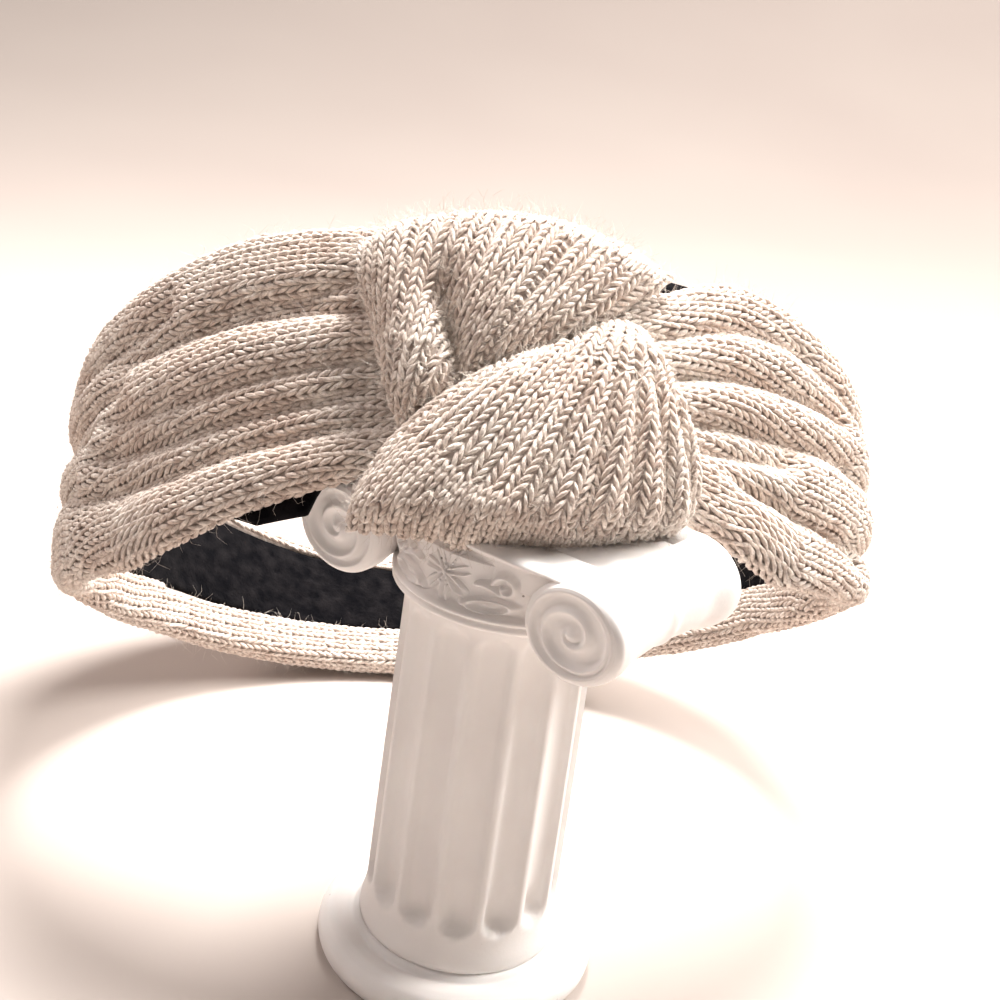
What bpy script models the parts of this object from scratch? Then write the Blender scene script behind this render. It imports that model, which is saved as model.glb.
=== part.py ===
"""A knotted ear warmer headband of marled knit with a fleece lining, resting on a small column stand."""
import bpy
import bmesh
import math
from mathutils import Matrix, Vector

# Headband ring, seen in its own level frame before it is tilted onto the stand
BAND_WIDTH = 0.1725         # side to side, at the middle of the wall
FRONT_DEPTH = 0.073         # from the widest line to the front
BACK_DEPTH = 0.081          # from the widest line to the back
FRONT_FULLNESS = 1.75       # 2 is an ellipse, less is more pointed
BACK_FULLNESS = 2.15
BAND_HEIGHT = 0.062         # tallest wall, beside the knot
RING_TILT = math.radians(44.2)
RING_LEAN = math.radians(-7.0)
RING_SHIFT = -0.0112        # the ring sits a little left of the stand
FRONT_SEAT = 0.01456        # the ring's foremost point lies this far behind the stand's axis
RING_SETBACK = FRONT_SEAT + FRONT_DEPTH * math.cos(RING_TILT)

# Cloth
KNIT_WALL = 0.0034
LINING_WALL = 0.0020
RIDGE_DEPTH = 0.0020        # gathers pulled in towards the knot
RIDGE_COUNT = 6
RIDGE_WANDER = 0.35         # how far the gathers wander up and down, in gathers
RIDGE_WAVER = 0.10
BOTTOM_HEM = 0.0095         # knit turned in along the lower edge
TOP_HEM = 0.0025
HEM_WALL = 0.0024
CLOTH_GAP = 0.0003
BAND_START = -92.0          # the two ends of the knit band, under the knot, in degrees of turn
BAND_END = -434.0
FINE_UNTIL = -165.0         # the wall is drawn in short steps down to here, and again from FINE_FROM on
FINE_FROM = -372.0
SHORT_STEP = 6.0
LONG_STEP = 9.0
END_STEP = 5.0

# Knot
KNOT_WIDTH = 0.062
KNOT_HEIGHT = 0.067
KNOT_DEPTH = 0.0165         # how far the knot stands out from the lining
KNOT_CENTRE = 0.0148        # along the band, right of the ring's foremost point
KNOT_MIDDLE = -0.0092       # height of the knot's middle on the band
FOLD_DEPTH = 0.0016         # ribs of the folded cloth in the knot
GROOVE_SHARE = 2.4          # the groove between the upper loop's two strands, in fold depths
GROOVE_PLACE = 0.40         # across the upper loop, from its left edge
GROOVE_SPREAD = 0.09
UPPER_RIBS = 3.5
LOWER_RIBS = 4.5
ROLL_SHARE = 0.62           # the loops' edges stand this share of their roll out from the back
DIP_PLACE = -0.065          # the two ends of the band stop on both sides of this place behind the knot
DIP_HALF = 0.14
DIP_EASE = 0.05

# Stand
BASE_RADIUS = 0.0280
BASE_HEIGHT = 0.0076
SHAFT_RADIUS = 0.0191
SHAFT_TAPER = 0.95
SHAFT_HEIGHT = 0.0736
FLUTE_COUNT = 14
FLUTE_DEPTH = 0.0014
FLUTE_SHARE = 0.80          # of the width from one flute to the next
CAPITAL_HEIGHT = 0.0156
CAPITAL_TURN = math.radians(36.0)
VOLUTE_RADIUS = 0.0086
VOLUTE_STRETCH = 1.14       # the scrolls are a little wider than high
VOLUTE_SPREAD = 0.0268      # from the axis to the middle of a scroll
CAPITAL_SHIFT = 0.0017      # the capital sits a little off the shaft
BOLSTER_HALF = 0.0200       # half the length of a scroll roll
SLAB_HALF = 0.0186          # half the depth of the slab between the rolls
SLAB_SHARE = 0.75           # of the scrolls' radius
STAND_GAP = 0.0003
SEAT_GAP = 0.0003

# Walls of the band, going round from the left of the knot by the back to its right.
# turn is in degrees, top, bottom and lining_low are shares of BAND_HEIGHT,
# ridge is a share of RIDGE_DEPTH, hem a share of the hem's thickness, flare is in degrees.
BAND_TABLE = (
    dict(turn=BAND_START, top=0.35, bottom=-0.38, ridge=0.35, hem=0.0, flare=0),
    dict(turn=-103, top=0.375, bottom=-0.43, ridge=0.80, hem=0.0, flare=0),
    dict(turn=-119, top=0.425, bottom=-0.50, ridge=1.00, hem=0.0, flare=0),
    dict(turn=-128, top=0.425, bottom=-0.55, ridge=1.00, hem=0.05, flare=0),
    dict(turn=-138, top=0.415, bottom=-0.57, ridge=0.95, hem=1.0, flare=0),
    dict(turn=-155, top=0.395, bottom=-0.51, ridge=0.75, hem=1.0, flare=0),
    dict(turn=-180, top=0.36, bottom=-0.41, ridge=0.45, hem=1.0, flare=2),
    dict(turn=-208, top=0.28, bottom=-0.35, ridge=0.25, hem=1.0, flare=7),
    dict(turn=-240, top=0.21, bottom=-0.335, ridge=0.20, hem=1.0, flare=13),
    dict(turn=-270, top=0.20, bottom=-0.305, ridge=0.20, hem=1.0, flare=15),
    dict(turn=-300, top=0.21, bottom=-0.24, ridge=0.20, hem=1.0, flare=13),
    dict(turn=-327, top=0.25, bottom=-0.24, ridge=0.25, hem=1.0, flare=7),
    dict(turn=-352, top=0.31, bottom=-0.32, ridge=0.45, hem=1.0, flare=2),
    dict(turn=-378, top=0.36, bottom=-0.46, ridge=0.75, hem=1.0, flare=0),
    dict(turn=-398, top=0.40, bottom=-0.55, ridge=0.95, hem=1.0, flare=0),
    dict(turn=-408, top=0.385, bottom=-0.51, ridge=1.00, hem=0.05, flare=0),
    dict(turn=-418, top=0.29, bottom=-0.42, ridge=0.90, hem=0.0, flare=0),
    dict(turn=BAND_END, top=0.18, bottom=-0.36, ridge=0.35, hem=0.0, flare=0),
)
# The fleece lining runs straight behind the knot, where the knit leaves its lower edge bare.
LINING_CORNER = -107.3       # the lining hangs lower from here on, clear of the scroll
LINING_TABLE = (
    dict(turn=-70, top=0.33, bottom=-0.430),
    dict(turn=-95, top=0.35, bottom=-0.445),
    dict(turn=-104, top=0.355, bottom=-0.438),
    dict(turn=LINING_CORNER, top=0.357, bottom=-0.440),
    dict(turn=-109, top=0.359, bottom=-0.530),
    dict(turn=-116, top=0.366, bottom=-0.540),
    dict(turn=-119, top=0.370, bottom=-0.510),
    dict(turn=-128, top=0.375, bottom=-0.44),
    dict(turn=-138, top=0.365, bottom=-0.405),
    dict(turn=-155, top=0.345, bottom=-0.34),
    dict(turn=-180, top=0.31, bottom=-0.245),
    dict(turn=-208, top=0.23, bottom=-0.185),
    dict(turn=-240, top=0.16, bottom=-0.170),
    dict(turn=-270, top=0.15, bottom=-0.140),
    dict(turn=-300, top=0.16, bottom=-0.075),
    dict(turn=-327, top=0.20, bottom=-0.075),
    dict(turn=-352, top=0.26, bottom=-0.155),
    dict(turn=-378, top=0.31, bottom=-0.290),
    dict(turn=-398, top=0.35, bottom=-0.385),
    dict(turn=-406, top=0.36, bottom=-0.445),
    dict(turn=-414, top=0.36, bottom=-0.445),
    dict(turn=-430, top=0.33, bottom=-0.430),
)
# The crease where the upper loop dips under the lower one, as shares of the knot's size
# from its middle: x to the right, y up.
CREASE = (
    dict(x=-0.46, y=-0.47),
    dict(x=-0.30, y=-0.21),
    dict(x=0.10, y=0.11),
    dict(x=0.42, y=0.40),
)
# Rows down the upper loop. left and crest are shares of the knot's size, y_left and y_right too,
# rise is the share of KNOT_DEPTH at the middle of the row and roll at its two edges.
UPPER_ROWS = (
    dict(left=-0.49, y_left=0.405, y_right=0.36, crest=0.085, rise=0.34, roll=0.28),
    dict(left=-0.49, y_left=0.38, y_right=0.34, crest=0.078, rise=0.66, roll=0.42),
    dict(left=-0.48, y_left=0.34, y_right=0.30, crest=0.062, rise=0.84, roll=0.52),
    dict(left=-0.46, y_left=0.26, y_right=0.23, crest=0.045, rise=0.94, roll=0.58),
    dict(left=-0.42, y_left=0.15, y_right=0.12, crest=0.020, rise=0.92, roll=0.60),
    dict(left=-0.39, y_left=0.03, y_right=0.01, crest=0.000, rise=0.84, roll=0.58),
    dict(left=-0.36, y_left=-0.08, y_right=-0.09, crest=0.000, rise=0.72, roll=0.52),
    dict(left=-0.335, y_left=-0.155, y_right=-0.175, crest=0.000, rise=0.58, roll=0.45),
)
# Rows down the lower loop, which fans out from a narrow fold at its upper right.
LOWER_ROWS = (
    dict(right=0.29, y_left=0.200, y_right=0.205, sag=0.000, rise=0.46, roll=0.40),
    dict(right=0.33, y_left=0.150, y_right=0.150, sag=0.000, rise=0.72, roll=0.55),
    dict(right=0.38, y_left=0.060, y_right=0.060, sag=0.000, rise=0.90, roll=0.66),
    dict(right=0.43, y_left=-0.040, y_right=-0.060, sag=0.005, rise=1.00, roll=0.70),
    dict(right=0.465, y_left=-0.140, y_right=-0.160, sag=0.010, rise=1.02, roll=0.70),
    dict(right=0.48, y_left=-0.240, y_right=-0.250, sag=0.020, rise=1.00, roll=0.68),
    dict(right=0.475, y_left=-0.345, y_right=-0.315, sag=0.035, rise=0.96, roll=0.66),
    dict(right=0.46, y_left=-0.415, y_right=-0.350, sag=0.055, rise=0.90, roll=0.64),
    dict(right=0.445, y_left=-0.455, y_right=-0.375, sag=0.070, rise=0.80, roll=0.58),
)
# Under the lower loop the cloth is pressed flat: behind this height its back is squeezed up.
SEAT_LINE = -0.27
SEAT_SQUEEZE = 0.25
# Turned profiles, from the top down: r is a share of the base radius, z of the base height.
BASE_PROFILE = (
    dict(r=0.715, z=1.00),
    dict(r=0.745, z=0.93),
    dict(r=0.760, z=0.86),
    dict(r=0.83, z=0.92),
    dict(r=0.89, z=0.90),
    dict(r=0.965, z=0.76),
    dict(r=1.00, z=0.52),
    dict(r=0.995, z=0.30),
    dict(r=0.97, z=0.10),
    dict(r=0.94, z=0.00),
)
# Half of a scroll roll, from its end towards the waist: r is a share of the scroll radius,
# along a share of the roll's half length.
BOLSTER_PROFILE = (
    dict(r=0.60, along=1.00),
    dict(r=0.90, along=0.99),
    dict(r=1.00, along=0.94),
    dict(r=1.00, along=0.86),
    dict(r=0.93, along=0.80),
    dict(r=0.86, along=0.55),
    dict(r=0.82, along=0.20),
)
# Neck and egg moulding under the scrolls, from the top down: r is a share of the shaft radius,
# z a share of the capital's height.
ECHINUS_PROFILE = (
    dict(r=1.10, z=0.62),
    dict(r=1.16, z=0.52),
    dict(r=1.19, z=0.38),
    dict(r=1.13, z=0.20),
    dict(r=1.03, z=0.08),
    dict(r=1.00, z=0.00),
)


def clear_scene():
    for old in list(bpy.data.objects):
        bpy.data.objects.remove(old, do_unlink=True)


def new_collection(name):
    group = bpy.data.collections.new(name)
    bpy.context.scene.collection.children.link(group)
    return group


def material(name, colour, roughness):
    finish = bpy.data.materials.new(name)
    finish.use_nodes = True
    shader = finish.node_tree.nodes["Principled BSDF"]
    shader.inputs["Base Color"].default_value = (*colour, 1.0)
    shader.inputs["Roughness"].default_value = roughness
    shader.inputs["Metallic"].default_value = 0.0
    return finish


def smooth(share):
    share = min(1.0, max(0.0, share))
    return share * share * (3.0 - 2.0 * share)


def read_table(table, key, at):
    """Values of every column at a place along a table, on a straight line between its rows."""
    rows = sorted(table, key=lambda row: row[key])
    if at <= rows[0][key]:
        return rows[0]
    for low, high in zip(rows, rows[1:]):
        if at <= high[key]:
            share = (at - low[key]) / (high[key] - low[key])
            return {name: low[name] + (high[name] - low[name]) * share for name in low}
    return rows[-1]


def row_between(rows, share):
    """A row part way down a list of rows, where share runs from 0 to 1."""
    place = share * (len(rows) - 1)
    index = min(int(place), len(rows) - 2)
    part = place - index
    first = rows[index]
    second = rows[index + 1]
    return {name: first[name] + (second[name] - first[name]) * part for name in first}


def plan_point(turn):
    """A point of the ring's outline in plan, with its outward normal."""
    angle = math.radians(turn)
    across = math.cos(angle)
    along = math.sin(angle)
    depth = BACK_DEPTH if along > 0 else FRONT_DEPTH
    fullness = BACK_FULLNESS if along > 0 else FRONT_FULLNESS
    half = BAND_WIDTH / 2
    x = half * math.copysign(abs(across) ** (2 / fullness), across)
    y = depth * math.copysign(abs(along) ** (2 / fullness), along)
    steep_x = math.copysign(abs(x / half) ** (fullness - 1), x) / half
    steep_y = math.copysign(abs(y / depth) ** (fullness - 1), y) / depth
    normal = Vector((steep_x, steep_y, 0.0)).normalized()
    return Vector((x, y, 0.0)), normal


def turn_at_arc(distance):
    """The turn that lies a given distance along the wall from the ring's foremost point."""
    step = 0.25 if distance > 0 else -0.25
    turn = -90.0
    here = plan_point(turn)[0]
    walked = 0.0
    while walked < abs(distance):
        ahead = plan_point(turn + step)[0]
        stride = (ahead - here).length
        if walked + stride >= abs(distance):
            return turn + step * (abs(distance) - walked) / stride
        walked += stride
        turn += step
        here = ahead
    return turn


def on_ring(turn, up, out, flare=0.0):
    """A place on the wall: up along it and out from its middle, in the ring's level frame."""
    point, normal = plan_point(turn)
    lean = math.radians(flare)
    upward = Vector((0.0, 0.0, 1.0)) * math.cos(lean) + normal * math.sin(lean)
    outward = normal * math.cos(lean) - Vector((0.0, 0.0, 1.0)) * math.sin(lean)
    return point + upward * up + outward * out


def loft(name, sections, closed_path, finish, group):
    """A closed body through sections that all have the same number of points."""
    shape = bmesh.new()
    loops = [[shape.verts.new(point) for point in section] for section in sections]
    count = len(loops[0])
    pairs = list(zip(loops, loops[1:]))
    if closed_path:
        pairs.append((loops[-1], loops[0]))
    for first, second in pairs:
        for index in range(count):
            after = (index + 1) % count
            shape.faces.new((first[index], first[after], second[after], second[index]))
    if not closed_path:
        shape.faces.new(list(reversed(loops[0])))
        shape.faces.new(loops[-1])
    bmesh.ops.recalc_face_normals(shape, faces=shape.faces)
    bmesh.ops.triangulate(shape, faces=shape.faces)
    mesh = bpy.data.meshes.new(name)
    shape.to_mesh(mesh)
    shape.free()
    mesh.materials.append(finish)
    mesh.shade_smooth()
    item = bpy.data.objects.new(name, mesh)
    group.objects.link(item)
    return item


def ridge_height(turn, share, strength):
    """Gathers running along the band: share goes from 0 at the top edge to 1 at the bottom."""
    angle = math.radians(turn)
    drift = RIDGE_WANDER * math.sin(3.0 * angle) + RIDGE_WAVER * math.sin(7.0 * angle)
    wave = math.cos(2.0 * math.pi * (RIDGE_COUNT * share + drift * (0.4 + share)))
    soft = math.sqrt(max(0.0, math.sin(math.pi * share)))
    return RIDGE_DEPTH * strength * soft * (0.5 + 0.5 * wave)


def band_section(turn):
    """One slice of the knit wall: ridged outside, turned in along its lower and upper edges."""
    row = read_table(BAND_TABLE, "turn", turn)
    top = row["top"] * BAND_HEIGHT
    bottom = row["bottom"] * BAND_HEIGHT
    flare = row["flare"]
    steps = RIDGE_COUNT * 4
    slice_points = []
    for step in range(1, steps):
        share = step / steps
        up = top + (bottom - top) * share
        crown = 0.25 * KNIT_WALL * math.sin(math.pi * share)
        ridge = ridge_height(turn, share, row["ridge"]) - RIDGE_DEPTH * 0.5 * row["ridge"]
        out = KNIT_WALL + crown + ridge
        slice_points.append((up, out))
    inner = -(LINING_WALL + CLOTH_GAP) * row["hem"]
    thick = inner - (HEM_WALL - LINING_WALL) * row["hem"]
    low_hem = BOTTOM_HEM * max(row["hem"], 0.02)
    high_hem = TOP_HEM * max(row["hem"], 0.05)
    edge = KNIT_WALL * 0.5
    slice_points += [
        (bottom, KNIT_WALL * 0.8),
        (bottom - edge * 0.5, edge),
        (bottom, thick * 0.6),
        (bottom + edge * 0.5, thick),
        (bottom + low_hem - CLOTH_GAP, thick),
        (bottom + low_hem, 0.0),
        (top - high_hem, 0.0),
        (top - high_hem + CLOTH_GAP, inner),
        (top, inner),
        (top + edge * 0.5, edge),
        (top, KNIT_WALL * 0.8),
    ]
    return [on_ring(turn, up, out, flare) for up, out in slice_points]


def wall_turns():
    """Places round the wall where it is drawn, from the left of the knot to its right."""
    turns = [BAND_START, BAND_START - END_STEP]
    while turns[-1] > BAND_END + SHORT_STEP:
        near_knot = turns[-1] > FINE_UNTIL or turns[-1] < FINE_FROM
        turns.append(turns[-1] - (SHORT_STEP if near_knot else LONG_STEP))
    turns.append(BAND_END)
    return turns


def make_band(finish, group):
    sections = [band_section(turn) for turn in wall_turns()]
    return loft("knit_band", sections, False, finish, group)


def lining_section(turn):
    row = read_table(LINING_TABLE, "turn", turn)
    flare = read_table(BAND_TABLE, "turn", min(turn, BAND_START))["flare"]
    top = row["top"] * BAND_HEIGHT
    bottom = row["bottom"] * BAND_HEIGHT
    outer = -CLOTH_GAP
    inner = outer - LINING_WALL
    nose = LINING_WALL * 0.3
    corners = (
        (top - nose, outer),
        ((top + bottom) / 2, outer),
        (bottom + nose, outer),
        (bottom, (outer + inner) / 2),
        (bottom + nose, inner),
        ((top + bottom) / 2, inner),
        (top - nose, inner),
        (top, (outer + inner) / 2),
    )
    return [on_ring(turn, up, out, flare) for up, out in corners]


def make_lining(finish, group):
    open_turn = 360.0 + BAND_END - BAND_START
    behind_knot = [BAND_START + open_turn * step / 4 for step in (3, 2, 1)]
    turns = sorted(behind_knot + wall_turns() + [LINING_CORNER], reverse=True)
    sections = [lining_section(turn) for turn in turns]
    return loft("fleece_lining", sections, True, finish, group)


def crease_x(y):
    """How far right the crease lies at a height, both as shares of the knot."""
    rows = [dict(x=row["x"], y=row["y"]) for row in CREASE]
    return read_table(rows, "y", y)["x"]


def knot_place(x, y, out):
    """A place in the knot from shares of its width and height and a true distance from the wall."""
    turn = turn_at_arc(KNOT_CENTRE + x * KNOT_WIDTH)
    return on_ring(turn, KNOT_MIDDLE + y * KNOT_HEIGHT, out)


def back_of_knot(x):
    """The knot lies on the band's two ends, and nearer the lining between them."""
    over_band = KNIT_WALL * 1.25 + RIDGE_DEPTH * 0.5 + CLOTH_GAP
    near_lining = CLOTH_GAP
    middle = smooth((DIP_HALF - abs(x - DIP_PLACE)) / DIP_EASE)
    return over_band + (near_lining - over_band) * middle


def squeezed(y):
    """Height of the loop's back, which the seat pushes up."""
    return y if y > SEAT_LINE else SEAT_LINE + (y - SEAT_LINE) * SEAT_SQUEEZE


def pad(name, rows, edges, folds, steps, slices, finish, group):
    """A folded loop of cloth: puffed and ribbed in front, lying on the band behind."""
    sections = []
    for index in range(slices + 1):
        row = row_between(rows, index / slices)
        left, right = edges(row)
        front = []
        behind = []
        for step in range(steps + 1):
            share = step / steps
            x = left[0] + (right[0] - left[0]) * share
            y = left[1] + (right[1] - left[1]) * share
            arch = math.sin(math.pi * share)
            y += arch * (row.get("crest", 0.0) - row.get("sag", 0.0))
            back = back_of_knot(x)
            puff = math.sqrt(1.0 - abs(2.0 * share - 1.0) ** 3)
            edge = row["roll"] * ROLL_SHARE
            height = KNOT_DEPTH * (edge + (row["rise"] - edge) * puff)
            height += FOLD_DEPTH * folds(share, index / slices)
            front.append(knot_place(x, y, max(height, back + KNIT_WALL * 0.4)))
            behind.append(knot_place(x, squeezed(y), back))
        sections.append(front + list(reversed(behind)))
    return loft(name, sections, False, finish, group)


def make_knot(finish, group):
    crease_gap = CLOTH_GAP * 1.5 / KNOT_WIDTH

    def upper_edges(row):
        right_y = row["y_right"]
        return (row["left"], row["y_left"]), (crease_x(right_y) - crease_gap, right_y)

    def lower_edges(row):
        left_y = row["y_left"]
        return (crease_x(left_y) + crease_gap, left_y), (row["right"], row["y_right"])

    def upper_folds(share, down):
        groove = math.exp(-((share - GROOVE_PLACE) / GROOVE_SPREAD) ** 2) * smooth((down - 0.25) * 3.0)
        return -GROOVE_SHARE * groove + 0.35 * math.cos(2.0 * math.pi * UPPER_RIBS * share)

    def lower_folds(share, down):
        fan = math.cos(2.0 * math.pi * (LOWER_RIBS * share + 0.1))
        return 0.55 * fan * smooth(share * 2.2) * smooth(down * 4.0)

    pad("knot_upper_loop", UPPER_ROWS, upper_edges, upper_folds, 18, 14, finish, group)
    pad("knot_lower_loop", LOWER_ROWS, lower_edges, lower_folds, 20, 16, finish, group)


def turned(name, profile, steps, finish, group):
    """A body turned about +Z from a profile of (radius, height) pairs, top to bottom."""
    mesh = bpy.data.meshes.new(name)
    points = [(0.0, 0.0, profile[0][1])]
    points += [(radius, 0.0, height) for radius, height in profile]
    points.append((0.0, 0.0, profile[-1][1]))
    edges = [(index, index + 1) for index in range(len(points) - 1)]
    mesh.from_pydata(points, edges, [])
    mesh.materials.append(finish)
    item = bpy.data.objects.new(name, mesh)
    group.objects.link(item)
    screw = item.modifiers.new("turn", "SCREW")
    screw.steps = steps
    screw.render_steps = steps
    screw.use_merge_vertices = True
    screw.merge_threshold = 0.00001
    screw.use_smooth_shade = True
    return item


def make_base(finish, group):
    profile = [(row["r"] * BASE_RADIUS, row["z"] * BASE_HEIGHT) for row in BASE_PROFILE]
    return turned("stand_base", profile, 48, finish, group)


def flute(angle, window):
    """Depth of the fluting at an angle round the shaft."""
    place = (angle * FLUTE_COUNT / (2.0 * math.pi)) % 1.0
    across = abs(place - 0.5) / (FLUTE_SHARE / 2)
    hollow = math.sqrt(max(0.0, 1.0 - across * across))
    return FLUTE_DEPTH * hollow * window


def make_shaft(finish, group):
    # Rows up the shaft: z and radius are shares, and flute opens and closes the hollows.
    rows = (
        dict(z=0.000, radius=1.040, flute=0.0),
        dict(z=0.025, radius=1.055, flute=0.0),
        dict(z=0.050, radius=1.020, flute=0.0),
        dict(z=0.095, radius=1.000, flute=0.0),
        dict(z=0.115, radius=0.998, flute=0.85),
        dict(z=0.160, radius=0.995, flute=1.0),
        dict(z=0.500, radius=0.980, flute=1.0),
        dict(z=0.920, radius=SHAFT_TAPER, flute=1.0),
        dict(z=0.950, radius=SHAFT_TAPER, flute=0.85),
        dict(z=0.970, radius=SHAFT_TAPER, flute=0.0),
        dict(z=1.000, radius=SHAFT_TAPER * 1.02, flute=0.0),
    )
    foot = BASE_HEIGHT + STAND_GAP
    sides = FLUTE_COUNT * 6
    sections = []
    for row in rows:
        section = []
        for side in range(sides):
            angle = 2.0 * math.pi * side / sides
            radius = SHAFT_RADIUS * row["radius"] - flute(angle, row["flute"])
            height = foot + row["z"] * SHAFT_HEIGHT
            section.append(Vector((radius * math.cos(angle), radius * math.sin(angle), height)))
        sections.append(section)
    return loft("stand_shaft", sections, False, finish, group)


def make_capital(finish, group, helpers):
    """A slab with two scroll rolls and a round moulding under them, joined into one body."""
    foot = BASE_HEIGHT + STAND_GAP + SHAFT_HEIGHT + STAND_GAP
    top = foot + CAPITAL_HEIGHT
    slab_height = VOLUTE_RADIUS * SLAB_SHARE
    slab = bmesh.new()
    bmesh.ops.create_cube(slab, size=1.0)
    size = Vector((2.0 * VOLUTE_SPREAD, 2.0 * SLAB_HALF, slab_height))
    bmesh.ops.scale(slab, vec=size, verts=slab.verts)
    mesh = bpy.data.meshes.new("stand_capital")
    slab.to_mesh(mesh)
    slab.free()
    mesh.materials.append(finish)
    capital = bpy.data.objects.new("stand_capital", mesh)
    offset = Vector((math.cos(CAPITAL_TURN), -math.sin(CAPITAL_TURN), 0.0)) * CAPITAL_SHIFT
    capital.location = offset + Vector((0.0, 0.0, top - slab_height / 2))
    capital.rotation_euler = (0.0, 0.0, -CAPITAL_TURN)
    group.objects.link(capital)

    profile = [(row["r"] * SHAFT_RADIUS, foot + row["z"] * CAPITAL_HEIGHT) for row in ECHINUS_PROFILE]
    parts = [turned("echinus", profile, 40, finish, helpers)]
    ends = [(row["r"] * VOLUTE_RADIUS, row["along"] * BOLSTER_HALF) for row in BOLSTER_PROFILE]
    whole = ends + [(radius, -along) for radius, along in reversed(ends)]
    stretch = Matrix.Diagonal((VOLUTE_STRETCH, 1.0, 1.0, 1.0))
    for side in (-1.0, 1.0):
        roll = turned("scroll_roll", whole, 28, finish, helpers)
        across = Vector((side * VOLUTE_SPREAD + CAPITAL_SHIFT, 0.0, 0.0))
        turn = Matrix.Rotation(-CAPITAL_TURN, 4, "Z")
        place = Matrix.Translation((0.0, 0.0, top - VOLUTE_RADIUS))
        lay_down = Matrix.Rotation(math.radians(90.0), 4, "X")
        roll.matrix_world = place @ turn @ Matrix.Translation(across) @ stretch @ lay_down
        parts.append(roll)
    for part in parts:
        part.hide_render = True
        part.display_type = "WIRE"
        join = capital.modifiers.new("join", "BOOLEAN")
        join.operation = "UNION"
        join.object = part
    return capital, top


def over_capital(point):
    """Whether a point lies over the slab or the scroll rolls of the capital."""
    across = point.x * math.cos(CAPITAL_TURN) - point.y * math.sin(CAPITAL_TURN) - CAPITAL_SHIFT
    along = point.x * math.sin(CAPITAL_TURN) + point.y * math.cos(CAPITAL_TURN)
    reach = VOLUTE_SPREAD + VOLUTE_RADIUS * VOLUTE_STRETCH
    return abs(across) < reach and abs(along) < BOLSTER_HALF + SEAT_GAP


def settle(items, seat_height):
    """Tilt the ring and set it down so that it rests on the capital."""
    turn = Matrix.Rotation(RING_LEAN, 4, "Y") @ Matrix.Rotation(-RING_TILT, 4, "X")
    lowest = None
    for item in items:
        item.data.transform(turn)
        item.data.transform(Matrix.Translation((RING_SHIFT, RING_SETBACK, 0.0)))
        for vertex in item.data.vertices:
            if over_capital(vertex.co) and (lowest is None or vertex.co.z < lowest):
                lowest = vertex.co.z
    lift = seat_height + SEAT_GAP - lowest
    for item in items:
        item.data.transform(Matrix.Translation((0.0, 0.0, lift)))


def main():
    clear_scene()
    group = new_collection("ear_warmer_headband")
    helpers = new_collection("helpers")
    knit = material("marled_knit", (0.47, 0.40, 0.35), 0.95)
    fleece = material("black_fleece", (0.012, 0.012, 0.013), 0.97)
    plaster = material("white_plaster", (0.86, 0.84, 0.81), 0.55)
    make_base(plaster, group)
    make_shaft(plaster, group)
    capital, top = make_capital(plaster, group, helpers)
    make_lining(fleece, group)
    make_band(knit, group)
    make_knot(knit, group)
    names = ("fleece_lining", "knit_band", "knot_upper_loop", "knot_lower_loop")
    settle([bpy.data.objects[name] for name in names], top)


main()
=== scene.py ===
"""Looks of a knotted ear warmer headband of marled knit with a fleece lining, on a small column."""
import math

import bpy
import numpy as np
from mathutils import Matrix, Vector


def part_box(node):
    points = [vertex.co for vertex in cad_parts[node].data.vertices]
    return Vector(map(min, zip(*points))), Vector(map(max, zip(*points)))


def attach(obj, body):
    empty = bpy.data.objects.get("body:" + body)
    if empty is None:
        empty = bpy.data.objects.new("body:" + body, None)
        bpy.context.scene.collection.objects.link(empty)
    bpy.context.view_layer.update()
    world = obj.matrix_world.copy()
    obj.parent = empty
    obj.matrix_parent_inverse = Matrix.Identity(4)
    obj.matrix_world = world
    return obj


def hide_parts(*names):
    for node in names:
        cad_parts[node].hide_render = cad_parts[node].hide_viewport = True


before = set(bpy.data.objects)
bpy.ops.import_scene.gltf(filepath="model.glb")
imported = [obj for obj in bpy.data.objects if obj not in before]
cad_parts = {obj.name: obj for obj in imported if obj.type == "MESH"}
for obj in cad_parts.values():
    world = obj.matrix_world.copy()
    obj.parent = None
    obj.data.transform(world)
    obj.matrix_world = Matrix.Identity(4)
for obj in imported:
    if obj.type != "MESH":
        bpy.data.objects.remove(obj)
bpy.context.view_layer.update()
CHANCE = np.random.default_rng(7)


def table(names, *rows):
    """Rows whose columns are named once, as a dict each."""
    return [dict(zip(names.split(), row)) for row in rows]


# Headband ring in its own level frame, in metres, as in the solids
BAND_WIDTH = 0.1725
FRONT_DEPTH = 0.073
BACK_DEPTH = 0.081
FRONT_FULLNESS = 1.75
BACK_FULLNESS = 2.15
BAND_HEIGHT = 0.062
RING_TILT = math.radians(44.2)
RING_LEAN = math.radians(-7.0)
RING_SHIFT = -0.0112
FRONT_SEAT = 0.01456
RING_SETBACK = FRONT_SEAT + FRONT_DEPTH * math.cos(RING_TILT)
KNIT_WALL = 0.0034
LINING_WALL = 0.0020
BOTTOM_HEM = 0.0095
TOP_HEM = 0.0025
HEM_WALL = 0.0024
CLOTH_GAP = 0.0003
BAND_START = -92.0
BAND_END = -434.0
KNOT_WIDTH = 0.062
KNOT_HEIGHT = 0.067
KNOT_DEPTH = 0.0165
KNOT_CENTRE = 0.0148
KNOT_MIDDLE = -0.0092
LOOP_GAP = CLOTH_GAP * 1.5 / KNOT_WIDTH
SEAT_LINE = -0.27
SEAT_SQUEEZE = 0.25

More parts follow.
